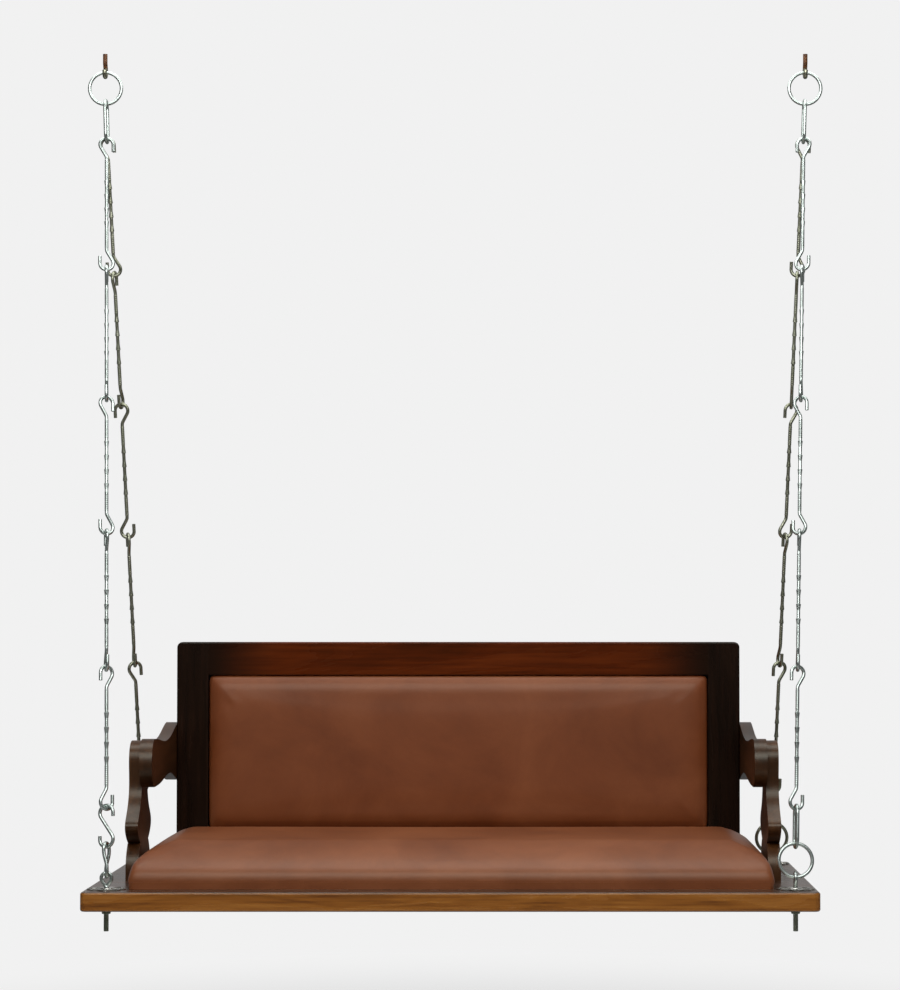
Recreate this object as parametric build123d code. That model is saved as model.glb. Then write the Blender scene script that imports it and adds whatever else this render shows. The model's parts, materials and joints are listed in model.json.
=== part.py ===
from build123d import *
import os
from math import asin, atan2, cos, degrees, radians, sin, sqrt, tan

# A jhoola: a cushioned bench that hangs from two ceiling hooks. Each hook carries a ring and a
# long link, and from the link two strings of hooked rods run down to the front and rear
# eyebolts of the seat board.
#
# Millimetres. The bench and its strings are built with X to the right, Y to the rear from the
# seat board's front edge, and Z up from the board's top face. They are then hung: the whole
# bench leans back until its centre of mass is under the hooks. In the finished part +Z is up
# and the origin lies midway between the two hook shanks, at their top ends.

# ---------------------------------------------------------------- driving dimensions

# Seat board
board_width = 1220.0
board_depth = 610.0
board_thickness = 32.0
board_corner_radius = 10.0
board_edge_radius = 4.0

# Wires that bear on each other
wire = 6.0
contact_gap = 0.3
open_pivot_gap = 1.0

# Ceiling hooks
hook_wire = 8.0
hook_splay = 44.0
hook_bend_radius = 8.0
hook_neck_angle = 30.0
hook_corner_radius = 8.0
hook_shank_length = 16.0
hook_tip_length = 3.0

# Rings and links, measured over all
ring_diameter = 62.0
top_link_length = 80.0
link_width = 36.0
lower_link_length = 76.0
small_link_width = 28.0
small_link_length = 62.0
small_link_twist = 28.0
small_link_pull = 0.9
s_hook_bend_radius = 12.5
s_hook_tip_length = 6.0

# Hooked rods
rod_count = 5
rod_length = 248.0
rod_bend_radius = 11.5
rod_neck_angle = 30.0
rod_corner_radius = 12.0
rod_tip_length = 13.0
rod_spread = 9.4
knuckle_count = 4
knuckle_pitch = 25.0
knuckle_length = 10.0
knuckle_shoulder = 1.0
knuckle_rise = 1.2

# Eyebolts and what holds them
eye_side_inset = 37.0
eye_front_inset = 54.0
eye_rear_inset = 53.0
eye_height = 30.5
eye_bend_radius = 8.5
eye_root_height = 4.0
bolt_diameter = 8.0
bolt_below_board = 37.0
hole_clearance = 0.25
nut_width = 13.0
nut_height = 6.5
washer_diameter = 17.0
washer_thickness = 1.6
rosette_radius = 32.0
rosette_petals = 8
petal_radius = 10.0
rosette_thickness = 2.0
rosette_boss_radius = 11.0
rosette_boss_height = 1.0
rosette_boss_taper = 30.0
petal_rib_length = 15.0
petal_rib_width = 2.6
petal_rib_height = 0.7

# Cushion and its base board
cushion_front = 56.0
cushion_side_gap = 2.0
cushion_rear_gap = 11.0
cushion_corner_radius = 12.0
base_thickness = 12.0
cushion_crown = 77.0
cushion_side_profile = {"shoulder": 100.0, "upright": 18.0, "belly": (0.01, 44.0), "top_run": 54.0}
cushion_front_profile = {"shoulder": 150.0, "upright": 6.0, "belly": (0.06, 36.0), "top_run": 82.0}
crown_overhang = 2.0

# Backrest
back_side_inset = 92.0
back_height = 405.0
back_thickness = 25.0
back_rear_inset = 2.0
rail_width = 60.0
stile_width = 58.0
stile_corner_radius = 10.0
frame_edge_radius = 3.0
panel_thickness = 5.0
pad_thickness = 32.0
pad_edge_radius = 20.0
pad_clearance = 0.5

# Armrests and their posts
arm_thickness = 22.0
arm_front = 213.0
arm_nose_depth = 38.0
arm_nose_top = 241.0
arm_nose_bottom = 158.0
arm_dip_run = 168.0
arm_dip_height = 231.0
arm_rise_run = 78.0
arm_rise_height = 239.0
arm_rear_top = 257.0
arm_rear_bottom = 151.0
arm_arch_run = 95.0
arm_arch_height = 170.0
arm_belly_run = 200.0
arm_belly_height = 164.0
arm_end_slope = 0.1
post_thickness = 22.0
post_centre = 292.0
post_head_height = 237.0
post_head_radius = 43.0
post_shoulder_height = 203.0
post_neck_radius = 39.0
post_neck_height = 168.0
post_belly_radius = 70.0
post_belly_height = 115.0
post_waist_radius = 50.0
post_waist_height = 62.0
post_waist_slope = 0.4
post_ledge_radius = 56.0
post_ledge_slope = 0.9
post_foot_radius = 82.0
post_foot_height = 14.0

# Wood screws
screw_diameter = 4.5
screw_head_diameter = 9.0
screw_head_height = 3.0
screw_clearance = 0.1
screw_bite = 38.0
arm_screw_low = 185.0
arm_screw_rise = 40.0
arm_screw_tip_cover = 4.0

# Weight in kg per cubic millimetre, for the balance of the hanging bench
steel = 7850e-9
wood = 600e-9
stuffing = 300e-9

# ---------------------------------------------------------------- derived places

board_bottom = -board_thickness
eye_half = board_width / 2 - eye_side_inset
eye_front = eye_front_inset
eye_rear = board_depth - eye_rear_inset
eye_middle = (eye_front + eye_rear) / 2
hook_half = eye_half + hook_splay
eye_wire_height = eye_height - wire / 2
wire_step = wire + contact_gap

ring_reach = ring_diameter - wire
top_link_reach = top_link_length - wire
lower_link_reach = lower_link_length - wire
rod_reach = rod_length - wire
small_link_reach = small_link_length - wire
s_hook_reach = lower_link_reach + ring_reach - small_link_reach - (open_pivot_gap - contact_gap)

hook_reach = hook_bend_radius + hook_bend_radius / sin(radians(hook_neck_angle)) + hook_shank_length
hook_step = (hook_wire + wire) / 2 + contact_gap

back_rear = board_depth - back_rear_inset
back_front = back_rear - back_thickness
back_middle = (back_front + back_rear) / 2
back_half = board_width / 2 - back_side_inset
opening_half = back_half - stile_width
stile_shift = back_half - stile_width / 2
opening_top = back_height - rail_width

arm_inner = back_half
post_inner = arm_inner + arm_thickness

cushion_width = 2 * (post_inner - cushion_side_gap)
cushion_depth = back_front - cushion_rear_gap - cushion_front

parts = []
os.makedirs("parts", exist_ok=True)


def add(name, shape, density):
    """Keep a finished piece of the bench for hanging and export."""
    parts.append((name, shape, density))


# ---------------------------------------------------------------- bent wire pieces


def round_wire(path, diameter):
    """A round wire along a path."""
    section = Plane(origin=path @ 0, z_dir=path % 0) * Circle(diameter / 2)
    return sweep(section, path=path)


def question_hook(reach, bend_radius, neck_angle, corner_radius, tip):
    """Centre line in XY: up from the origin, a slanted neck, over the top at reach, down the tip."""
    lean = radians(neck_angle)
    corner = reach - bend_radius - bend_radius / sin(lean)
    trim = corner_radius * tan(lean / 2)
    stem = Line((0, 0), (0, corner - trim))
    turn = JernArc(stem @ 1, stem % 1, corner_radius, neck_angle)
    neck = Line(turn @ 1, turn @ 1 + (turn % 1) * (bend_radius / tan(lean) - trim))
    bend = JernArc(neck @ 1, neck % 1, bend_radius, -(180 + neck_angle))
    end = Line(bend @ 1, bend @ 1 + (bend % 1) * tip)
    return Wire([stem, turn, neck, bend, end])


def half_s_hook(reach, bend_radius, tip):
    """Centre line in XY: a neck that slants up from the origin, over the top at reach, down the tip."""
    lean = asin(bend_radius / (reach - bend_radius))
    neck_end = Vector(-sin(lean), cos(lean)) * (bend_radius / tan(lean))
    neck = Line((0, 0), neck_end)
    bend = JernArc(neck @ 1, neck % 1, bend_radius, -(180 + degrees(lean)))
    end = Line(bend @ 1, bend @ 1 + (bend % 1) * tip)
    return Wire([neck, bend, end])


def ring_piece():
    """A welded ring in XZ, centred."""
    return Rot(90, 0, 0) * Torus(ring_reach / 2, wire / 2)


def link_piece(length, width):
    """An oval link in XZ, centred."""
    bow = (width - wire) / 2
    side = (length - width) / 2
    right = Line((bow, -side), (bow, side))
    top = JernArc(right @ 1, right % 1, bow, 180)
    left = Line(top @ 1, (-bow, -side))
    bottom = JernArc(left @ 1, left % 1, bow, 180)
    return Plane.XZ * round_wire(Wire([right, top, left, bottom]), wire)


def twisted_link_piece(length, width, twist):
    """A link whose top bow lies in XZ and whose bottom bow is turned by twist about Z."""
    bow = (width - wire) / 2
    side = (length - width) / 2
    reach = small_link_pull * side
    top = ThreePointArc((bow, 0, side), (0, 0, side + bow), (-bow, 0, side))
    turned = Vector(bow, 0, 0).rotate(Axis.Z, twist)
    low = Vector(0, 0, -side)
    bottom = ThreePointArc(low + turned, low + Vector(0, 0, -bow), low - turned)
    link = round_wire(top, wire) + round_wire(bottom, wire)
    for sign in (1, -1):
        high_end = Vector(sign * bow, 0, side)
        low_end = low + turned * sign
        bar = Bezier(high_end, high_end - Vector(0, 0, reach), low_end + Vector(0, 0, reach), low_end)
        link = link + round_wire(bar, wire)
    return link


def knuckle_piece():
    """One swollen joint of a rod: a slow taper up to a sharp shoulder."""
    inner = wire / 2
    outer = inner + knuckle_rise
    end = knuckle_length + knuckle_shoulder
    outline = Polyline((0, 0), (inner, 0), (outer, knuckle_length), (inner, end), (0, end), (0, 0))
    return Pos(0, 0, -end / 2) * revolve(Plane.XZ * make_face(outline), Axis.Z)


def rod_piece():
    """A hooked rod in XZ, centred; its two hooks open to opposite sides, and its middle has
    swollen knuckles like a bamboo cane."""
    half_path = question_hook(
        rod_reach / 2, rod_bend_radius, rod_neck_angle, rod_corner_radius, rod_tip_length
    )
    upper = Plane.XZ * round_wire(half_path, wire)
    rod = upper + Rot(0, 180, 0) * upper
    knuckle = knuckle_piece()
    for index in range(knuckle_count):
        rod = rod + Pos(0, 0, (index - (knuckle_count - 1) / 2) * knuckle_pitch) * knuckle
    return rod


def s_hook_piece():
    """An S-hook in XZ, centred; its two bends open to opposite sides."""
    half_path = half_s_hook(s_hook_reach / 2, s_hook_bend_radius, s_hook_tip_length)
    upper = Plane.XZ * round_wire(half_path, wire)
    return upper + Rot(0, 180, 0) * upper


def ceiling_hook_piece():
    """A question-mark ceiling hook in YZ, bend down; the shank's top end is at the origin."""
    path = question_hook(
        hook_reach, hook_bend_radius, hook_neck_angle, hook_corner_radius, hook_tip_length
    )
    return Rot(180, 0, 0) * (Plane.YZ * round_wire(path, hook_wire))


def eyebolt_piece():
    """A teardrop eye in XZ on a plain shank; the origin is on the board's top face."""
    centre = eye_wire_height - eye_bend_radius
    lean = degrees(atan2(eye_bend_radius, sqrt((centre - eye_root_height) ** 2 - eye_bend_radius**2)))
    root = (0, eye_root_height)
    cosine = cos(radians(lean))
    sine = sin(radians(lean))
    right = (eye_bend_radius * cosine, centre - eye_bend_radius * sine)
    left = (-eye_bend_radius * cosine, centre - eye_bend_radius * sine)
    bow = ThreePointArc(right, (0, eye_wire_height), left)
    eye = round_wire(bow, wire) + round_wire(Line(root, right), wire) + round_wire(Line(root, left), wire)
    shank_length = board_thickness + bolt_below_board + eye_root_height
    shank = Pos(0, 0, eye_root_height - shank_length / 2) * Cylinder(bolt_diameter / 2, shank_length)
    root_ball = Pos(0, 0, eye_root_height) * Sphere(bolt_diameter / 2)
    return Plane.XZ * eye + shank + root_ball


# ---------------------------------------------------------------- the strings of rods

bow_radius = (link_width - wire) / 2
bow_rise = bow_radius - sqrt(bow_radius**2 - (rod_spread / 2) ** 2)
string_count = rod_count + 2
string_length = rod_count * rod_reach + lower_link_reach + ring_reach
string_length -= string_count * wire_step + wire + open_pivot_gap
string_run = (eye_rear - eye_front - rod_spread) / 2
string_drop = sqrt(string_length**2 - string_run**2)

# Along a hanger's own upright: the hook wire is at 0, and each place is below it.
ring_centre_drop = ring_reach / 2 - hook_step
link_top_drop = ring_reach - hook_step - wire_step
link_centre_drop = link_top_drop + top_link_reach / 2
link_bottom_drop = link_top_drop + top_link_reach
eye_drop = link_bottom_drop - bow_rise + string_drop
splay = hook_half - eye_half
hook_height = eye_wire_height + sqrt(eye_drop**2 - splay**2)

# How far each piece of a string is turned about the string, in degrees from the bench's front
# plane: the five rods from the top down, the two lower pieces and the eyebolt.
string_turns = {
    ("left", "front"): (10, 96, 28, 106, 220, -22, 74, 4),
    ("left", "rear"): (10, 80, 175, 105, 30, -43, 64, -3),
    ("right", "front"): (160, 80, -28, 88, 202, 95, 3, 90),
    ("right", "rear"): (-20, 85, 200, 103, 200, 95, 3, 90),
}

rod = rod_piece()
top_ring = ring_piece()
top_link = link_piece(top_link_length, link_width)
lower_link = link_piece(lower_link_length, link_width)
s_hook = s_hook_piece()
small_link = twisted_link_piece(small_link_length, small_link_width, small_link_twist)
eyebolt = eyebolt_piece()

for side, sign in (("left", -1), ("right", 1)):
    hook_point = Vector(sign * hook_half, eye_middle, hook_height)
    foot_point = Vector(sign * eye_half, eye_middle, eye_wire_height)
    upright = (hook_point - foot_point).normalized()
    across = Vector(0, 1, 0).cross(upright)
    hanger = Plane(origin=hook_point, x_dir=across, z_dir=upright)
    add(f"{side}_top_ring", hanger * Pos(0, 0, -ring_centre_drop) * top_ring, steel)
    add(f"{side}_top_link", hanger * Pos(0, 0, -link_centre_drop) * Rot(0, 0, 90) * top_link, steel)

    if side == "left":
        lower_pieces = (("s_hook", s_hook, s_hook_reach), ("link", small_link, small_link_reach))
    else:
        lower_pieces = (("link", lower_link, lower_link_reach), ("ring", top_ring, ring_reach))
    for place, eye_y, toward in (("front", eye_front, -1), ("rear", eye_rear, 1)):
        start = hanger.from_local_coords(Vector(0, toward * rod_spread / 2, bow_rise - link_bottom_drop))
        eye_point = Vector(sign * eye_half, eye_y, eye_wire_height)
        line = (start - eye_point).normalized()
        string = Plane(origin=start, x_dir=across, z_dir=line)
        rods = [(f"rod_{number}", rod, rod_reach) for number in range(1, rod_count + 1)]
        *turns, eye_turn = string_turns[side, place]
        over = 0 if toward < 0 else 180
        below = -wire_step
        for (name, shape, reach), turn in zip((*rods, *lower_pieces), turns):
            if shape is rod:
                shape = Rot(0, over, 0) * shape
            piece = string * Pos(0, 0, -(below + reach / 2)) * Rot(0, 0, turn) * shape
            add(f"{side}_{place}_{name}", piece, steel)
            below += reach - wire_step
        bolt = Pos(sign * eye_half, eye_y, 0) * Rot(0, 0, eye_turn) * eyebolt
        add(f"{side}_{place}_eyebolt", bolt, steel)

# ---------------------------------------------------------------- plates, washers and nuts

bolt_places = [(x, y) for x in (-eye_half, eye_half) for y in (eye_front, eye_rear)]
bolt_hole_radius = bolt_diameter / 2 + hole_clearance


def rosette_piece():
    """A scalloped flower plate with a low boss round the bolt hole."""
    petal_circle = rosette_radius - petal_radius
    flower = Circle(petal_circle)
    for petal in PolarLocations(petal_circle, rosette_petals):
        flower = flower + petal * Circle(petal_radius)
    plate = extrude(flower, rosette_thickness)
    boss = extrude(Circle(rosette_boss_radius), rosette_boss_height, taper=rosette_boss_taper)
    rib = extrude(SlotOverall(petal_rib_length, petal_rib_width), petal_rib_height)
    for petal in PolarLocations(petal_circle, rosette_petals):
        plate = plate + Pos(0, 0, rosette_thickness) * petal * rib
    hole_depth = 2 * (rosette_thickness + rosette_boss_height)
    return plate + Pos(0, 0, rosette_thickness) * boss - Cylinder(bolt_hole_radius, 2 * hole_depth)


def nut_piece():
    """A hexagon nut, top face at the origin."""
    across_corners = nut_width / cos(radians(30))
    body = extrude(RegularPolygon(across_corners / 2, 6), -nut_height)
    crown = Pos(0, 0, -nut_height) * Cone(nut_width / 2, nut_width / 2 + nut_height, nut_height,
                                           align=(Align.CENTER, Align.CENTER, Align.MIN))
    return (body & crown) - Cylinder(bolt_hole_radius, 4 * nut_height)


def washer_piece():
    """A flat washer, top face at the origin."""
    return extrude(Circle(washer_diameter / 2) - Circle(bolt_hole_radius), -washer_thickness)


def group(shape, places, height):
    """Copies of one small piece at each bolt."""
    return Compound([Pos(x, y, height) * shape for x, y in places])


add("rosette_plates", group(rosette_piece(), bolt_places, 0), steel)
add("eyebolt_washers", group(washer_piece(), bolt_places, board_bottom), steel)
add("eyebolt_nuts", group(nut_piece(), bolt_places, board_bottom - washer_thickness), steel)

# ---------------------------------------------------------------- screws


def screw_piece(length, clearance=0.0):
    """A countersunk screw along -Z with its head's flat at the origin; with a clearance it is
    the hole that the screw lies in."""
    head = screw_head_diameter / 2 + clearance
    shank = screw_diameter / 2 + clearance
    outline = Polyline(
        (0, 0), (head, 0), (shank, -screw_head_height), (shank, -length - clearance),
        (0, -length - clearance), (0, 0)
    )
    return revolve(Plane.XZ * make_face(outline), Axis.Z)


upward = Rot(180, 0, 0)
inward_left = Rot(0, -90, 0)
inward_right = Rot(0, 90, 0)

post_screw_length = board_thickness + screw_bite
post_screw_places = [
    Pos(sign * (post_inner + post_thickness / 2), post_centre + offset, board_bottom) * upward
    for sign in (-1, 1)
    for offset in (-post_waist_radius / 2, post_waist_radius / 2)
]
back_screw_xs = (-stile_shift, -back_half / 2, 0, back_half / 2, stile_shift)
back_screw_places = [Pos(x, back_middle, board_bottom) * upward for x in back_screw_xs]
arm_screw_length = arm_thickness + post_thickness - arm_screw_tip_cover
arm_screw_places = []
for sign, inward in ((-1, inward_left), (1, inward_right)):
    for height in (arm_screw_low, arm_screw_low + arm_screw_rise):
        arm_screw_places.append(
            Pos(sign * (arm_inner + arm_thickness), back_middle, height) * inward
        )
    for offset in (-post_neck_radius / 2, post_neck_radius / 2):
        arm_screw_places.append(
            Pos(sign * (post_inner + post_thickness), post_centre + offset, post_shoulder_height) * inward
        )


def drilled(shape, places, length):
    """The shape with a screw's hole at each place."""
    hole = screw_piece(length, screw_clearance)
    for place in places:
        shape = shape - place * hole
    return shape


def screws(places, length):
    """One screw at each place."""
    screw = screw_piece(length)
    return Compound([place * screw for place in places])


add("post_screws", screws(post_screw_places, post_screw_length), steel)
add("back_screws", screws(back_screw_places, post_screw_length), steel)
add("arm_screws", screws(arm_screw_places, arm_screw_length), steel)

# ---------------------------------------------------------------- seat board and cushion


def slab(width, depth, front, bottom, thickness, corner_radius):
    """A board with rounded plan corners, centred on X."""
    face = RectangleRounded(width, depth, corner_radius)
    return Pos(0, front + depth / 2, bottom) * extrude(face, thickness)


def seat_board():
    """The seat board, softened all round, drilled for the eyebolts and screws."""
    board = slab(board_width, board_depth, 0, board_bottom, board_thickness, board_corner_radius)
    rims = board.edges().group_by(Axis.Z)[-1] + board.edges().group_by(Axis.Z)[0]
    board = fillet(rims, board_edge_radius)
    for x, y in bolt_places:
        board = board - Pos(x, y, -board_thickness / 2) * Cylinder(bolt_hole_radius, 2 * board_thickness)
    board = drilled(board, post_screw_places, post_screw_length)
    return drilled(board, back_screw_places, post_screw_length)


def crowned_face(half_width, shoulder, upright, belly, top_run):
    """A cushion's outline, standing on its base and a little wider than its plan on both sides."""
    outer = half_width + crown_overhang
    edge_low = base_thickness + upright
    side = Line((outer, base_thickness), (outer, edge_low))
    shoulder_curve = Bezier(
        (outer, edge_low),
        (outer - belly[0] * shoulder, base_thickness + belly[1]),
        (half_width - top_run, cushion_crown),
        (half_width - shoulder, cushion_crown),
    )
    top = Line((half_width - shoulder, cushion_crown), (0, cushion_crown))
    middle = Line((0, cushion_crown), (0, base_thickness))
    bottom = Line((0, base_thickness), (outer, base_thickness))
    half = make_face(Wire([side, shoulder_curve, top, middle, bottom]))
    return half + mirror(half, Plane.YZ)


def seat_cushion():
    """The stuffed cushion: upright low edges, rounded shoulders and a flat crown."""
    middle = cushion_front + cushion_depth / 2
    along = Pos(0, middle, 0) * extrude(
        Plane.XZ * crowned_face(cushion_width / 2, **cushion_side_profile), cushion_depth, both=True
    )
    across = Pos(0, middle, 0) * extrude(
        Plane.YZ * crowned_face(cushion_depth / 2, **cushion_front_profile), cushion_width, both=True
    )
    plan = slab(cushion_width, cushion_depth, cushion_front, 0, 2 * cushion_crown, cushion_corner_radius)
    return plan & along & across


add("seat_board", seat_board(), wood)
add("cushion_base",
    slab(cushion_width, cushion_depth, cushion_front, 0, base_thickness, cushion_corner_radius), wood)
add("seat_cushion", seat_cushion(), stuffing)

# ---------------------------------------------------------------- backrest


def back_bar(width, low, high):
    """A square-edged bar of the back frame, centred on X."""
    return Pos(0, back_middle, (low + high) / 2) * Box(width, back_thickness, high - low)


def back_stile(sign):
    """One upright of the back frame, with a round outer top corner and softened outer edges."""
    stile = Pos(sign * stile_shift, 0, 0) * back_bar(stile_width, 0, back_height)
    top_edges = stile.edges().filter_by(Axis.Y).sort_by(Axis.Z)[-2:]
    outer_edge = top_edges.sort_by(Axis.X)[-1 if sign > 0 else 0]
    stile = fillet(outer_edge, stile_corner_radius)
    rims = [
        edge
        for edge in stile.edges()
        if abs(edge.center().Y - back_middle) > frame_edge_radius
        and edge.center().Z > frame_edge_radius
        and sign * edge.center().X > stile_shift - stile_width / 2 + frame_edge_radius
    ]
    return fillet(rims, frame_edge_radius)


bottom_rail = drilled(back_bar(2 * opening_half, 0, rail_width), back_screw_places, post_screw_length)
top_rail = back_bar(2 * opening_half, opening_top, back_height)
top_rail = fillet(top_rail.edges().filter_by(Axis.X).sort_by(Axis.Z)[-2:], frame_edge_radius)
add("back_top_rail", top_rail, wood)
add("back_bottom_rail", bottom_rail, wood)
for side, sign in (("left", -1), ("right", 1)):
    stile = drilled(back_stile(sign), back_screw_places, post_screw_length)
    add(f"back_{side}_stile", drilled(stile, arm_screw_places, arm_screw_length), wood)

opening_height = opening_top - rail_width
opening_centre = (opening_top + rail_width) / 2
panel = Box(2 * opening_half, panel_thickness, opening_height)
add("back_panel", Pos(0, back_rear - panel_thickness / 2, opening_centre) * panel, wood)
pad = Box(2 * (opening_half - pad_clearance), pad_thickness, opening_height - 2 * pad_clearance)
pad = fillet(pad.faces().sort_by(Axis.Y)[0].edges(), pad_edge_radius)
pad_rear = back_rear - panel_thickness
add("back_pad", Pos(0, pad_rear - pad_thickness / 2, opening_centre) * pad, stuffing)

# ---------------------------------------------------------------- armrests and posts


def arm_profile():
    """The armrest's side view: a rounded scroll at the front, a dipped top and an arched rear."""
    rear = back_rear - back_rear_inset
    nose_end = arm_front + arm_nose_depth
    nose_middle = (arm_nose_top + arm_nose_bottom) / 2
    nose = ThreePointArc((nose_end, arm_nose_bottom), (arm_front, nose_middle), (nose_end, arm_nose_top))
    dip = (back_front - arm_dip_run, arm_dip_height)
    rise = (back_front - arm_rise_run, arm_rise_height)
    arch = (back_front - arm_arch_run, arm_arch_height)
    belly = (back_front - arm_belly_run, arm_belly_height)
    top = Spline([(nose_end, arm_nose_top), dip, rise, (rear, arm_rear_top)],
                 tangents=[(1, 0), (1, arm_end_slope)])
    end = Line((rear, arm_rear_top), (rear, arm_rear_bottom))
    bottom = Spline([(rear, arm_rear_bottom), arch, belly, (nose_end, arm_nose_bottom)],
                    tangents=[(-1, arm_end_slope), (-1, 0)])
    return make_face(Wire([nose, top, end, bottom]))


def post_profile():
    """The post's side view: a vase with a round head, a waist, a ledge and a spread foot."""
    waist = (post_waist_radius, post_waist_height)
    body = Spline(
        [(0, post_head_height), (post_head_radius, post_shoulder_height),
         (post_neck_radius, post_neck_height), (post_belly_radius, post_belly_height), waist],
        tangents=[(1, 0), (-1, -post_waist_slope)],
    )
    ledge = Line(waist, (post_ledge_radius, post_waist_height))
    sweep_down = Spline([(post_ledge_radius, post_waist_height), (post_foot_radius, post_foot_height)],
                        tangents=[(1, -post_ledge_slope), (0, -1)])
    foot = Line((post_foot_radius, post_foot_height), (post_foot_radius, 0))
    base = Line((post_foot_radius, 0), (0, 0))
    axis = Line((0, 0), (0, post_head_height))
    half = make_face(Wire([body, ledge, sweep_down, foot, base, axis]))
    return Pos(post_centre, 0, 0) * (half + mirror(half, Plane.YZ))


def side_board(profile, inner, thickness, sign):
    """A profile in the side view, cut from a board that starts at inner on one side."""
    board = extrude(Plane.YZ * profile, thickness)
    return Pos(inner if sign > 0 else -inner - thickness, 0, 0) * board


for side, sign in (("left", -1), ("right", 1)):
    arm = side_board(arm_profile(), arm_inner, arm_thickness, sign)
    add(f"{side}_armrest", drilled(arm, arm_screw_places, arm_screw_length), wood)
    post = side_board(post_profile(), post_inner, post_thickness, sign)
    post = drilled(post, arm_screw_places, arm_screw_length)
    add(f"{side}_arm_post", drilled(post, post_screw_places, post_screw_length), wood)

# ---------------------------------------------------------------- hanging and export

pivot_height = hook_height + hook_step
total_mass = sum(shape.volume * density for _, shape, density in parts)
mass_y = sum(shape.volume * density * shape.center(CenterOf.MASS).Y for _, shape, density in parts)
mass_z = sum(shape.volume * density * shape.center(CenterOf.MASS).Z for _, shape, density in parts)
overhang = mass_y / total_mass - eye_middle
hang_depth = pivot_height - mass_z / total_mass
lean_back = degrees(atan2(overhang, hang_depth))

pivot_drop = hook_reach - hook_step
hung = Pos(0, 0, -pivot_drop) * Rot(-lean_back, 0, 0) * Pos(0, -eye_middle, -pivot_height)

for side, sign in (("left", -1), ("right", 1)):
    hook = Pos(sign * hook_half, 0, 0) * ceiling_hook_piece()
    export_step(hook, f"parts/{side}_ceiling_hook.step")
for name, shape, _ in parts:
    export_step(hung * shape, f"parts/{name}.step")

print(f"lean back {lean_back:.4f} degrees, mass {total_mass:.2f} kg, "
      f"pivot {pivot_height:.3f} above the board, {pivot_drop:.3f} below the origin")
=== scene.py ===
import json
from math import atan2, cos, pi, radians, sin

import bpy
from mathutils import Matrix, Vector


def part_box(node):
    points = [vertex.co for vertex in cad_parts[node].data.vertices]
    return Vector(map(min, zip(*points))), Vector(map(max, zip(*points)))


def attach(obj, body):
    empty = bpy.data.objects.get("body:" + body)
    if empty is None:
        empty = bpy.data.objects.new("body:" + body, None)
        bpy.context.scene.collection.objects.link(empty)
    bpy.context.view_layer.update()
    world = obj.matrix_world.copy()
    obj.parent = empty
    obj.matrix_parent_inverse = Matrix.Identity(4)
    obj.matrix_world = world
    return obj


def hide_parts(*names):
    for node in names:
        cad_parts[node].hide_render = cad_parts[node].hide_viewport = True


# A jhoola: a cushioned bench that hangs from two ceiling hooks on strings of hooked rods.
# Metres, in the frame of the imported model: +Z up, +Y to the rear, the origin between the hooks.

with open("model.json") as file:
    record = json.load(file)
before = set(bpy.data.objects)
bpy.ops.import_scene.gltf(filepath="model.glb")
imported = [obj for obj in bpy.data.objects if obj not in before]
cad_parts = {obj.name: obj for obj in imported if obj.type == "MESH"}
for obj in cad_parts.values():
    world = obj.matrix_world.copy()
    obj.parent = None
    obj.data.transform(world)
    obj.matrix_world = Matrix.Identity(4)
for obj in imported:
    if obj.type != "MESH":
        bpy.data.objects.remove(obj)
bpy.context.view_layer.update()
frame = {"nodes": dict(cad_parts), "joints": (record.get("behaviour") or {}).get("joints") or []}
nodes = frame["nodes"]
scene = bpy.context.scene
scene.view_settings.view_transform = "Standard"

# ---------------------------------------------------------------- the bench's own axes

# The bench hangs with a slight lean to the rear. Its own axes run across, to the rear and up
# from the middle of the seat board's front edge, at the board's top.
sway_axis = Vector(next(j["axis"] for j in frame["joints"] if j["name"] == "sway"))
bench = Matrix.Rotation(-atan2(-sway_axis.z, sway_axis.y), 4, "X")


def own_box(name):
    """A CAD node's lowest and highest corner in the bench's own axes."""
    back = bench.inverted()
    points = [back @ v.co for v in nodes[name].data.vertices]
    low = Vector([min(p[i] for p in points) for i in range(3)])
    high = Vector([max(p[i] for p in points) for i in range(3)])
    return low, high


board_low, board_high = own_box("seat_board")
bench = bench @ Matrix.Translation((0, board_low.y, board_high.z))
board_low, board_high = own_box("seat_board")
cushion_low, cushion_high = own_box("seat_cushion")
base_low, base_high = own_box("cushion_base")
pad_low, pad_high = own_box("back_pad")
nuts_low, nuts_high = own_box("eyebolt_nuts")

# ---------------------------------------------------------------- camera

# Found from the perspective of the seat board: its edges' widths at the front and the rear.
camera_place = Vector((0.126, -5.010, 0.469))
camera_pitch = radians(2.12)
focal_pixels = 3033
picture_height = 990
camera_shift = -0.0775
sensor_width = 36
view_reach = 100

camera_data = bpy.data.cameras.new("camera")
camera_data.sensor_width = sensor_width
camera_data.lens = sensor_width * focal_pixels / picture_height
camera_data.shift_x = camera_shift
camera_data.clip_end = view_reach
camera = bpy.data.objects.new("camera", camera_data)
scene.collection.objects.link(camera)
camera.matrix_world = (
    bench @ Matrix.Translation(camera_place) @ Matrix.Rotation(pi / 2 + camera_pitch, 4, "X")
)
scene.camera = camera

# ---------------------------------------------------------------- node helpers


def link_node(tree, kind, inputs=(), **settings):
    """A shader node with its settings, its inputs set to values or joined to other sockets."""
    made = tree.nodes.new("ShaderNode" + kind)
    for name, value in settings.items():
        setattr(made, name, value)
    for name, value in dict(inputs).items():
        if isinstance(value, bpy.types.NodeSocket):
            tree.links.new(value, made.inputs[name])
        else:
            made.inputs[name].default_value = value
    return made


def ramp(tree, factor, stops):
    """A colour ramp through (place, colour) stops."""
    made = link_node(tree, "ValToRGB", {"Fac": factor})
    elements = made.color_ramp.elements
    while len(elements) < len(stops):
        elements.new(0.5)
    for element, (place, colour) in zip(elements, stops):
        element.position = place
        element.color = (*colour, 1)
    return made.outputs["Color"]


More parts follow.
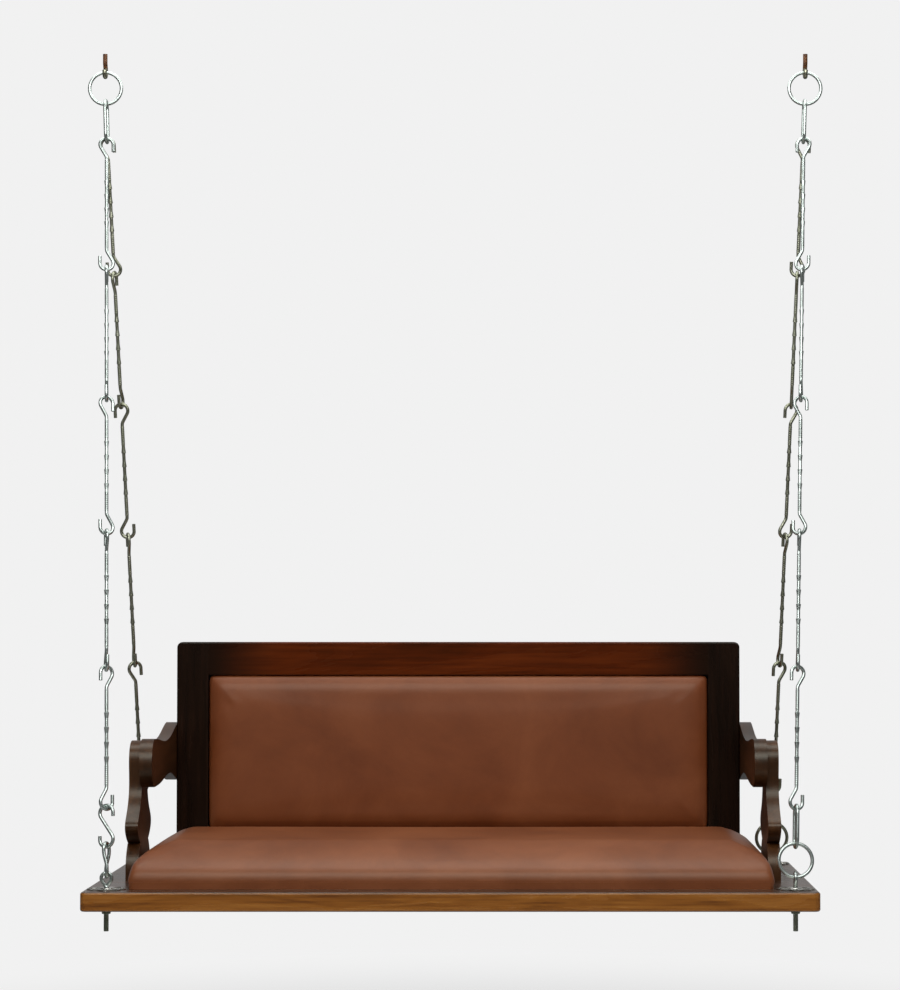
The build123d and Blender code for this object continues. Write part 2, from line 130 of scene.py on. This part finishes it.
def noise(tree, place, scale, detail=4.0, roughness=0.5, distortion=0.0):
    """A noise pattern's factor."""
    inputs = {
        "Vector": place,
        "Scale": scale,
        "Detail": detail,
        "Roughness": roughness,
        "Distortion": distortion,
    }
    return link_node(tree, "TexNoise", inputs).outputs["Fac"]


def spread(tree, value, low, high):
    """A factor from 0 to 1 spread over the range from low to high."""
    inputs = {"Value": value, "To Min": low, "To Max": high}
    return link_node(tree, "MapRange", inputs).outputs["Result"]


def eased(tree, value, start, end):
    """A factor that eases from 0 at the start to 1 at the end of a range."""
    inputs = {"Value": value, "From Min": start, "From Max": end}
    made = link_node(tree, "MapRange", inputs, interpolation_type="SMOOTHSTEP")
    return made.outputs["Result"]


def stretched(tree, scale):
    """Object coordinates, scaled on each axis."""
    place = link_node(tree, "TexCoord").outputs["Object"]
    return link_node(tree, "Mapping", {"Vector": place, "Scale": scale}).outputs["Vector"]


def bumps(tree, height, distance, strength=1.0, onto=None):
    """A bumped normal, on top of another where one is given."""
    inputs = {"Height": height, "Distance": distance, "Strength": strength}
    if onto:
        inputs["Normal"] = onto
    return link_node(tree, "Bump", inputs).outputs["Normal"]


def new_material(name):
    """A node material, with its tree and its main shader."""
    material = bpy.data.materials.new(name)
    material.use_nodes = True
    return material, material.node_tree, material.node_tree.nodes["Principled BSDF"]


def finish_shader(tree, shader, links, values):
    """Joins sockets to the shader's inputs and sets the others."""
    for name, socket in links.items():
        tree.links.new(socket, shader.inputs[name])
    for name, value in values.items():
        shader.inputs[name].default_value = value


# ---------------------------------------------------------------- materials

# Heights in the frame between which the ceiling hooks' rust gives way to bare steel.
rust_end = -0.026
rust_fade = 0.003
bare_steel = (0.3, 0.3, 0.22, 1)
# The colour the rails' ends darken to: painted shade.
end_shade = (0.0105, 0.0036, 0.0014, 1)
warm_sheen = (1.0, 1.0, 0.86, 1.0)


def leather(name, dark, middle, light):
    """Smooth upholstery leather: a slow, faint mottle and a fine pebbled grain."""
    material, tree, shader = new_material(name)
    place = stretched(tree, (1, 1, 1))
    mottle = noise(tree, place, 6, 8, 0.66, 0.4)
    colour = ramp(tree, mottle, ((0.3, dark), (0.5, middle), (0.7, light)))
    pebbles = link_node(tree, "TexVoronoi", {"Vector": place, "Scale": 620}).outputs["Distance"]
    normal = bumps(tree, noise(tree, place, 40, 4, 0.5), 0.0012, 0.12)
    normal = bumps(tree, pebbles, 0.00015, 0.4, normal)
    links = {"Base Color": colour, "Normal": normal, "Roughness": spread(tree, mottle, 0.4, 0.48)}
    finish_shader(tree, shader, links, {"Specular IOR Level": 0.38, "Specular Tint": warm_sheen})
    return material


def polished_wood(name, along, dark, middle, light, rough, shine, shaded_ends=None):
    """Stained and lacquered wood whose grain runs along one axis; its colour may darken to both
    ends with painted shade, from one distance from the middle to another."""
    material, tree, shader = new_material(name)
    fibre = [26.0, 26.0, 26.0]
    fibre["XYZ".index(along)] = 1.3
    figure = [7.0, 7.0, 7.0]
    figure["XYZ".index(along)] = 0.9
    bands = noise(tree, stretched(tree, figure), 1.4, 5, 0.55, 1.6)
    fibres = noise(tree, stretched(tree, fibre), 5.0, 6, 0.6, 0.3)
    both = link_node(tree, "Mix", {"Factor": 0.42}, data_type="FLOAT")
    tree.links.new(bands, both.inputs["A"])
    tree.links.new(fibres, both.inputs["B"])
    colour = ramp(tree, both.outputs["Result"], ((0.36, dark), (0.5, middle), (0.64, light)))
    # Painted shade: the colour darkens towards both ends.
    if shaded_ends:
        place = link_node(tree, "SeparateXYZ", {"Vector": stretched(tree, (1, 1, 1))})
        distance = link_node(tree, "Math", {0: place.outputs[along]}, operation="ABSOLUTE")
        fade = eased(tree, distance.outputs["Value"], *shaded_ends)
        shaded_mix = link_node(tree, "Mix", {"Factor": fade}, data_type="RGBA")
        tree.links.new(colour, shaded_mix.inputs["A"])
        shaded_mix.inputs["B"].default_value = end_shade
        colour = shaded_mix.outputs["Result"]
    links = {
        "Base Color": colour,
        "Normal": bumps(tree, fibres, 0.0005, 0.15),
        "Roughness": spread(tree, bands, rough, rough + 0.1),
    }
    finish_shader(tree, shader, links, {"Specular IOR Level": shine, "Specular Tint": warm_sheen})
    return material


def plank_wood(name):
    """The seat board, coloured by which way a face points: dark brown top and bottom faces and
    honey brown upright edges, painted light and shade.
    """
    material, tree, shader = new_material(name)
    figure = noise(tree, stretched(tree, (1.2, 9, 12)), 2.2, 6, 0.6, 1.4)
    fibres = noise(tree, stretched(tree, (2, 60, 70)), 3.0, 5, 0.6, 0.2)
    both = link_node(tree, "Mix", {"Factor": 0.4}, data_type="FLOAT")
    tree.links.new(figure, both.inputs["A"])
    tree.links.new(fibres, both.inputs["B"])
    shade = both.outputs["Result"]
    honey = (
        (0.34, (0.09, 0.026, 0.004)),
        (0.48, (0.23, 0.078, 0.01)),
        (0.62, (0.33, 0.13, 0.022)),
    )
    # Colour of the upright edges, lighter: painted light.
    lit_sides = ramp(tree, shade, honey)
    # Colour of the top and bottom faces, darker: painted shade.
    faces = ramp(tree, shade, ((0.36, (0.022, 0.009, 0.005)), (0.62, (0.075, 0.03, 0.014))))
    normal = link_node(tree, "TexCoord").outputs["Normal"]
    upright = link_node(tree, "SeparateXYZ", {"Vector": normal}).outputs["Z"]
    flat = link_node(tree, "Math", {0: upright}, operation="ABSOLUTE").outputs["Value"]
    # Painted light and shade: the upright edges get the lighter colour, the flat faces the darker.
    mixed = link_node(tree, "Mix", {"Factor": eased(tree, flat, 0.45, 0.85)}, data_type="RGBA")
    tree.links.new(lit_sides, mixed.inputs["A"])
    tree.links.new(faces, mixed.inputs["B"])
    pores = bumps(tree, fibres, 0.0006, 0.22)
    rough = spread(tree, figure, 0.2, 0.34)
    links = {"Base Color": mixed.outputs["Result"], "Normal": pores, "Roughness": rough}
    finish_shader(tree, shader, links, {"Specular IOR Level": 0.5, "Specular Tint": warm_sheen})
    return material


def plated_steel(name, bright, dull, rough):
    """Zinc-plated steel with faint clouds."""
    material, tree, shader = new_material(name)
    clouds = noise(tree, stretched(tree, (1, 1, 1)), 30, 3, 0.5, 0.5)
    colour = ramp(tree, clouds, ((0.35, dull), (0.62, bright)))
    links = {"Base Color": colour, "Roughness": spread(tree, clouds, rough + 0.06, rough)}
    finish_shader(tree, shader, links, {"Metallic": 1.0})
    return material


def stamped_steel(name):
    """The thin stamped plates: bright steel with a pressed, uneven face."""
    material, tree, shader = new_material(name)
    place = stretched(tree, (1, 1, 1))
    pressed = noise(tree, place, 240, 3, 0.55, 0.8)
    tarnish = noise(tree, place, 70, 4, 0.6)
    colour = ramp(tree, tarnish, ((0.35, (0.2, 0.19, 0.16)), (0.58, (0.72, 0.71, 0.66))))
    normal = bumps(tree, pressed, 0.0011, 0.8)
    links = {"Base Color": colour, "Normal": normal, "Roughness": spread(tree, tarnish, 0.32, 0.16)}
    finish_shader(tree, shader, links, {"Metallic": 1.0})
    return material


def rusty_steel(name):
    """The ceiling hooks: a brown skin of rust, worn to bare steel where the ring bears."""
    material, tree, shader = new_material(name)
    place = stretched(tree, (1, 1, 1))
    flakes = noise(tree, place, 160, 4, 0.6, 0.4)
    browns = (
        (0.34, (0.05, 0.016, 0.002)),
        (0.52, (0.1, 0.033, 0.004)),
        (0.7, (0.17, 0.06, 0.01)),
    )
    brown = ramp(tree, flakes, browns)
    height = link_node(tree, "SeparateXYZ", {"Vector": place}).outputs["Z"]
    rusted = eased(tree, height, rust_end - rust_fade, rust_end + rust_fade)
    mixed = link_node(tree, "Mix", {"Factor": rusted}, data_type="RGBA")
    mixed.inputs["A"].default_value = bare_steel
    tree.links.new(brown, mixed.inputs["B"])
    links = {
        "Base Color": mixed.outputs["Result"],
        "Normal": bumps(tree, flakes, 0.0003, 0.4),
        "Roughness": spread(tree, rusted, 0.34, 0.6),
        "Metallic": spread(tree, rusted, 1.0, 0.1),
    }
    finish_shader(tree, shader, links, {})
    return material


seat_leather = leather(
    "seat leather", (0.125, 0.032, 0.009), (0.172, 0.048, 0.014), (0.22, 0.068, 0.023)
)
back_leather = leather(
    "back leather", (0.14, 0.034, 0.009), (0.178, 0.046, 0.013), (0.215, 0.061, 0.019)
)
# The stiles' wood is made far darker than the rails': painted shade.
shaded_stile_wood = polished_wood(
    "shaded stile wood",
    "Z",
    (0.005, 0.0018, 0.0008),
    (0.0095, 0.0034, 0.0015),
    (0.018, 0.0065, 0.003),
    rough=0.22,
    shine=0.15,
)
# The top and bottom rails darken towards both ends with painted shade.
rail_wood = polished_wood(
    "rail wood",
    "X",
    (0.03, 0.006, 0.0006),
    (0.072, 0.011, 0.0008),
    (0.115, 0.02, 0.002),
    rough=0.22,
    shine=0.12,
    shaded_ends=(0.3, 0.465),
)
# The armrests' wood is made darker than the posts' to stand in for the shade on their inner faces:
# painted shade.
shaded_arm_wood = polished_wood(
    "shaded arm wood",
    "Y",
    (0.018, 0.006, 0.0012),
    (0.036, 0.0115, 0.0025),
    (0.062, 0.022, 0.0055),
    rough=0.3,
    shine=0.4,
)
post_wood = polished_wood(
    "post wood",
    "Z",
    (0.024, 0.0078, 0.0015),
    (0.047, 0.015, 0.0032),
    (0.078, 0.028, 0.007),
    rough=0.3,
    shine=0.4,
)
panel_wood = polished_wood(
    "panel wood",
    "X",
    (0.01, 0.004, 0.002),
    (0.024, 0.009, 0.005),
    (0.045, 0.018, 0.009),
    rough=0.4,
    shine=0.3,
)
board_wood = plank_wood("board wood")
zinc = plated_steel("zinc", (0.52, 0.58, 0.55), (0.4, 0.45, 0.42), 0.3)
# The rear strings' zinc, a darker copy of the front strings': painted shade.
shaded_zinc = plated_steel("shaded zinc", (0.34, 0.35, 0.27), (0.24, 0.25, 0.18), 0.36)
dull_zinc = plated_steel("dull zinc", (0.24, 0.25, 0.18), (0.13, 0.14, 0.09), 0.4)
stamped = stamped_steel("stamped steel")
rust = rusty_steel("rust")


def paint(material, *names):
    """Gives CAD nodes their finish."""
    for name in names:
        for slot in nodes[name].material_slots:
            slot.material = material


strings = [(side, place) for side in ("left", "right") for place in ("front", "rear")]
paint(rust, "left_ceiling_hook", "right_ceiling_hook")
paint(stamped, "rosette_plates")
paint(dull_zinc, "eyebolt_nuts", "eyebolt_washers", "post_screws", "back_screws", "arm_screws")
paint(board_wood, "seat_board")
paint(seat_leather, "cushion_base")
paint(rail_wood, "back_top_rail", "back_bottom_rail")
paint(shaded_stile_wood, "back_left_stile", "back_right_stile")
paint(panel_wood, "back_panel")
paint(shaded_arm_wood, "left_armrest", "right_armrest")
paint(post_wood, "left_arm_post", "right_arm_post")
steel_words = ("rod", "ring", "link", "s_hook", "eyebolt")
# The rear strings take the darker zinc: painted shade.
for name in nodes:
    if name.startswith(("left", "right")) and any(word in name for word in steel_words):
        paint(shaded_zinc if "rear" in name else zinc, name)

# ---------------------------------------------------------------- mesh helpers


def new_piece(name, data, body, slot, *materials):
    """A mesh as a shown piece that rides on a CAD body."""
    piece = bpy.data.objects.new(name, data)
    scene.collection.objects.link(piece)
    data.materials.clear()
    for material in materials:
        data.materials.append(material)
    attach(piece, body)
    return piece


def turned_form(outline, place, segments):
    """A form turned about Z from (radius, height) points: its vertices, placed, and its faces."""
    points = []
    for radius, height in outline:
        for step in range(segments):
            angle = 2 * pi * step / segments
            points.append(place @ Vector((radius * cos(angle), radius * sin(angle), height)))
    faces = []
    for row in range(len(outline) - 1):
        for step in range(segments):
            after = (step + 1) % segments
            low = row * segments
            high = low + segments
            faces.append((low + step, low + after, high + after, high + step))
    return points, faces


def joined_mesh(name, forms):
    """Several forms in one smooth mesh."""
    points = []
    faces = []
    for form_points, form_faces in forms:
        start = len(points)
        points += form_points
        faces += [tuple(start + corner for corner in face) for face in form_faces]
    data = bpy.data.meshes.new(name)
    data.from_pydata(points, [], faces)
    data.validate()
    data.shade_smooth()
    return data


# ---------------------------------------------------------------- ribbed stems of the rods

rods_in_string = 5
rod_radius = 0.003
rib_start = 0.047
rib_end = 0.081
rib_pitch = 0.0034
rib_height = 0.00042
rib_root = 0.00003
rib_segments = 16
sleeve_sink = 0.0002


def ribbed_outline():
    """A sleeve of close round ribs along a stem, as (radius, height) points."""
    outline = [(rod_radius - sleeve_sink, rib_start)]
    count = round((rib_end - rib_start) / rib_pitch)
    for rib in range(count):
        middle = rib_start + (rib + 0.5) * rib_pitch
        outline.append((rod_radius + rib_root, middle - 0.42 * rib_pitch))
        outline.append((rod_radius + 0.75 * rib_height, middle - 0.2 * rib_pitch))
        outline.append((rod_radius + rib_height, middle))
        outline.append((rod_radius + 0.75 * rib_height, middle + 0.2 * rib_pitch))
        outline.append((rod_radius + rib_root, middle + 0.42 * rib_pitch))
    outline.append((rod_radius - sleeve_sink, rib_end))
    return outline


def middle_of(name):
    """The middle of a CAD node's box, which for a rod is the rod's own middle."""
    low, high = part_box(name)
    return (low + high) / 2


def stem_sleeves(side, place):
    """The ribbed sleeves on both stems of each rod in one string."""
    numbers = range(1, rods_in_string + 1)
    middles = [middle_of(f"{side}_{place}_rod_{number}") for number in numbers]
    along = middles[0] - middles[-1]
    turn = along.to_track_quat("Z", "Y").to_matrix().to_4x4()
    forms = []
    for middle in middles:
        for end in (0, pi):
            seat = Matrix.Translation(middle) @ turn @ Matrix.Rotation(end, 4, "X")
            forms.append(turned_form(ribbed_outline(), seat, rib_segments))
    return forms


for side, place in strings:
    data = joined_mesh(f"{side}_{place}_ribs", stem_sleeves(side, place))
    # The rear strings' ribs take the darker zinc: painted shade.
    steel = shaded_zinc if place == "rear" else zinc
    new_piece(f"{side}_{place}_ribs", data, f"{side}_strings", "rods", steel)

# ---------------------------------------------------------------- threads under the nuts

bolt_radius = 0.004
thread_pitch = 0.00125
thread_depth = 0.00035
thread_root = 0.00002
thread_segments = 20
thread_end_gap = 0.0008
nut_gap = 0.0005


def thread_outline(low, high):
    """The ridges of a thread between two heights, as (radius, height) points."""
    outline = [(bolt_radius - sleeve_sink, low)]
    for ridge in range(int((high - low) / thread_pitch)):
        start = low + ridge * thread_pitch
        outline.append((bolt_radius + thread_root, start + 0.1 * thread_pitch))
        outline.append((bolt_radius + thread_depth, start + 0.5 * thread_pitch))
        outline.append((bolt_radius + thread_root, start + 0.9 * thread_pitch))
    outline.append((bolt_radius - sleeve_sink, high))
    return outline


thread_forms = []
for side, place in strings:
    bolt_low, bolt_high = own_box(f"{side}_{place}_eyebolt")
    centre = (bolt_low + bolt_high) / 2
    seat = bench @ Matrix.Translation((centre.x, centre.y, 0))
    outline = thread_outline(bolt_low.z + thread_end_gap, nuts_low.z + nut_gap)
    thread_forms.append(turned_form(outline, seat, thread_segments))
thread_data = joined_mesh("bolt_threads", thread_forms)
new_piece("bolt_threads", thread_data, "bench", "bolts_and_plates", dull_zinc)

# ---------------------------------------------------------------- leather cushions

cloth_frames = 20


def bake(piece):
    """Applies all of a piece's modifiers at the current frame."""
    view = bpy.context.evaluated_depsgraph_get()
    data = bpy.data.meshes.new_from_object(piece.evaluated_get(view))
    piece.modifiers.clear()
    piece.data = data


def within(value, low, high):
    """A number held between two limits."""
    return max(low, min(high, value))


def grown_form(name, piece, voxel, pressure, cap, is_held, room, rounding=4, settling=3):
    """Blows a closed form up by a cloth simulation and returns its smooth mesh.

    Held vertices stay where they are, the others' moves are eased so that none reaches cap, and
    all stay inside room. The form is in the bench's own axes until the end. Its edges are
    rounded before the simulation, and its skin settles after it, by that many smoothing steps.
    """
    remesh = piece.modifiers.new("remesh", "REMESH")
    remesh.mode = "VOXEL"
    remesh.voxel_size = voxel
    smooth = piece.modifiers.new("smooth", "SMOOTH")
    smooth.factor = 0.5
    smooth.iterations = rounding
    bake(piece)
    before = [vertex.co.copy() for vertex in piece.data.vertices]
    held = piece.vertex_groups.new(name="held")
    held.add([v.index for v in piece.data.vertices if is_held(v.co)], 1.0, "REPLACE")
    cloth = piece.modifiers.new("cloth", "CLOTH")
    cloth.settings.use_pressure = True
    cloth.settings.uniform_pressure_force = pressure
    cloth.settings.effector_weights.gravity = 0
    cloth.settings.vertex_group_mass = "held"
    cloth.settings.quality = 4
    for number in range(1, cloth_frames + 1):
        scene.frame_set(number)
    bake(piece)
    scene.frame_set(1)
    for vertex, start in zip(piece.data.vertices, before):
        move = vertex.co - start
        move *= cap / (cap + move.length)
        vertex.co = [within(start[i] + move[i], room[0][i], room[1][i]) for i in range(3)]
    settle = piece.modifiers.new("settle", "SMOOTH")
    settle.factor = 0.5
    settle.iterations = settling
    detail = piece.modifiers.new("detail", "SUBSURF")
    detail.levels = 1
    bake(piece)
    data = piece.data
    data.name = name
    bpy.data.objects.remove(piece)
    data.transform(bench)
    data.shade_smooth()
    return data


def own_copy(node):
    """A CAD solid's mesh as a new object in the bench's own axes."""
    piece = bpy.data.objects.new(node + "_form", nodes[node].data.copy())
    scene.collection.objects.link(piece)
    piece.data.transform(bench.inverted())
    return piece


# The seat's leather is drawn down over the edge of the base board and tucked under it. At its
# front corners it is pinched, and its hem ends in a low point.
wrap = 0.001
tuck = 0.0006
hem = 0.010
corner_reach = 0.12
corner_flare = 0.004
corner_pinch = 0.002
crown_sink = 0.002
seat_step = 0.006


def corner_move(point):
    """How far out to the side the leather goes at a point near a front corner."""
    near = within(1 - (point.y - cushion_low.y) / corner_reach, 0, 1)
    raised = within((point.z - hem) / (3 * hem), 0, 1)
    return near * (corner_flare * (1 - raised) - corner_pinch * raised)


seat_form = own_copy("seat_cushion")
seat_middle = (cushion_low + cushion_high) / 2
seat_half = (cushion_high - cushion_low) / 2
for vertex in seat_form.data.vertices:
    for i in (0, 1):
        vertex.co[i] = seat_middle[i] + (vertex.co[i] - seat_middle[i]) * (1 + wrap / seat_half[i])
    if vertex.co.z < cushion_low.z + tuck:
        vertex.co.z = base_low.z + tuck
split = seat_form.modifiers.new("split", "REMESH")
split.mode = "VOXEL"
split.voxel_size = seat_step
bake(seat_form)
for vertex in seat_form.data.vertices:
    vertex.co.x *= 1 + corner_move(vertex.co) / seat_half.x
seat_room = (
    Vector((cushion_low.x - corner_flare, cushion_low.y - wrap, base_low.z + tuck)),
    Vector((cushion_high.x + corner_flare, cushion_high.y + wrap, cushion_high.z - crown_sink)),
)
seat_data = grown_form(
    "seat_cushion_leather",
    seat_form,
    voxel=seat_step,
    pressure=4,
    cap=0.0025,
    is_held=lambda point: point.z < base_low.z + hem,
    room=seat_room,
    settling=6,
)
seat = new_piece("seat_cushion_leather", seat_data, "bench", "seat_cushion", seat_leather)
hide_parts("seat_cushion")

# The pad's leather rolls back round all four edges, almost to the face of the frame.
roll_width = 0.034
roll_power = 2.4
rim_sink = 0.0025
rim_depth = 0.003
pad_step = 0.005
pad_growth = 0.0015
frame_face = own_box("back_left_stile")[0].y
rim_thickness = pad_high.y - frame_face - rim_sink
pad_thickness = pad_high.y - pad_low.y


def rolled(to_edge):
    """The roll's height, from 0 at the edge to 1 where the pad is flat."""
    return 1 - (1 - within(to_edge / roll_width, 0, 1)) ** roll_power


def pad_grid():
    """The pad as a closed form: a flat back and a front that rolls down to the rim."""
    columns = round((pad_high.x - pad_low.x) / pad_step)
    rows = round((pad_high.z - pad_low.z) / pad_step)
    front = []
    back = []
    for row in range(rows + 1):
        for column in range(columns + 1):
            x = pad_low.x + (pad_high.x - pad_low.x) * column / columns
            z = pad_low.z + (pad_high.z - pad_low.z) * row / rows
            rise = rolled(pad_high.x - abs(x)) * rolled(min(z - pad_low.z, pad_high.z - z))
            thickness = rim_thickness + (pad_thickness - rim_thickness) * rise
            front.append((x, pad_high.y - thickness, z))
            back.append((x, pad_high.y, z))
    wide = columns + 1
    behind = len(front)
    faces = []
    for row in range(rows):
        for column in range(columns):
            a = row * wide + column
            faces.append((a, a + 1, a + wide + 1, a + wide))
            faces.append((behind + a, behind + a + wide, behind + a + wide + 1, behind + a + 1))
    rim = list(range(columns)) + [row * wide + columns for row in range(rows)]
    rim += [rows * wide + column for column in range(columns, 0, -1)]
    rim += [row * wide for row in range(rows, 0, -1)]
    for a, b in zip(rim, rim[1:] + rim[:1]):
        faces.append((b, a, behind + a, behind + b))
    data = bpy.data.meshes.new("pad_grid")
    data.from_pydata(front + back, [], faces)
    piece = bpy.data.objects.new("pad_grid", data)
    scene.collection.objects.link(piece)
    return piece


pad_data = grown_form(
    "back_pad_leather",
    pad_grid(),
    voxel=pad_step,
    pressure=3,
    cap=pad_growth,
    is_held=lambda point: point.y > frame_face + rim_depth,
    room=(pad_low - Vector((0, pad_growth, 0)), pad_high),
    rounding=2,
    settling=5,
)
pad = new_piece("back_pad_leather", pad_data, "bench", "back_pad", back_leather)
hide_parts("back_pad")

# ---------------------------------------------------------------- floor, light and background

backdrop = (0.88, 0.88, 0.88)
floor_drop = 0.45
floor_half = 9.0
shade_reach = 0.3
open_floor = 2.2
floor_bounce = 0.16

floor_level = (bench @ board_low).z - floor_drop
floor_mesh = bpy.data.meshes.new("floor")
floor_corners = [(-1, -1), (1, -1), (1, 1), (-1, 1)]
floor_mesh.from_pydata(
    [(x * floor_half, y * floor_half, floor_level) for x, y in floor_corners], [], [(0, 1, 2, 3)]
)
floor = bpy.data.objects.new("floor", floor_mesh)
scene.collection.objects.link(floor)

floor_material, tree, shader = new_material("floor")
finish_shader(tree, shader, {}, {"Base Color": (*backdrop, 1), "Roughness": 0.9})
glow = link_node(tree, "Emission", {"Color": (*backdrop, 1)})
seen = link_node(tree, "LightPath").outputs["Is Camera Ray"]
tree.links.new(spread(tree, seen, floor_bounce, 1.0), glow.inputs["Strength"])
from_middle = link_node(tree, "VectorMath", {0: stretched(tree, (1, 1, 0))}, operation="LENGTH")
fade = eased(tree, from_middle.outputs["Value"], shade_reach, open_floor)
blend = link_node(tree, "MixShader", {0: fade, 1: shader.outputs[0], 2: glow.outputs[0]})
tree.links.new(blend.outputs[0], tree.nodes["Material Output"].inputs["Surface"])
floor_mesh.materials.append(floor_material)


def soft_light(name, place, aim, width, height, power):
    """A large rectangular soft light that points at a place."""
    data = bpy.data.lights.new(name, "AREA")
    data.shape = "RECTANGLE"
    data.size = width
    data.size_y = height
    data.energy = power
    light = bpy.data.objects.new(name, data)
    scene.collection.objects.link(light)
    light.location = place
    light.rotation_euler = (Vector(aim) - Vector(place)).to_track_quat("-Z", "Y").to_euler()
    return light


fill_reach = 2.4
light_aim = (0, 0, -1.3)
soft_light("key", (0, -1.9, 0.3), light_aim, 2.8, 1.0, 46)
soft_light("top", (0, 0.1, 0.55), light_aim, 2.6, 0.9, 26)
for name, side in (("left fill", -1), ("right fill", 1)):
    fill = soft_light(name, (side * fill_reach, -2.2, -0.8), light_aim, 0.8, 2.0, 4)
    fill.visible_glossy = False

world = bpy.data.worlds.new("studio")
scene.world = world
world.use_nodes = True
tree = world.node_tree
tree.nodes.clear()
studio_dim = 0.14
studio_rear = 0.42
direction = link_node(tree, "TexCoord").outputs["Generated"]
rear_inputs = {
    "Value": link_node(tree, "SeparateXYZ", {"Vector": direction}).outputs["Y"],
    "From Min": 0.2,
    "From Max": 0.9,
    "To Min": studio_dim,
    "To Max": studio_rear,
}
rear_glow = link_node(tree, "MapRange", rear_inputs, interpolation_type="SMOOTHSTEP")
strength = rear_glow.outputs["Result"]
lit = link_node(tree, "Background", {"Color": (1, 1, 1, 1), "Strength": strength})
plain = link_node(tree, "Background", {"Color": (*backdrop, 1), "Strength": 1.0})
seen = link_node(tree, "LightPath").outputs["Is Camera Ray"]
both = link_node(tree, "MixShader", {0: seen, 1: lit.outputs[0], 2: plain.outputs[0]})
link_node(tree, "OutputWorld", {"Surface": both.outputs[0]})
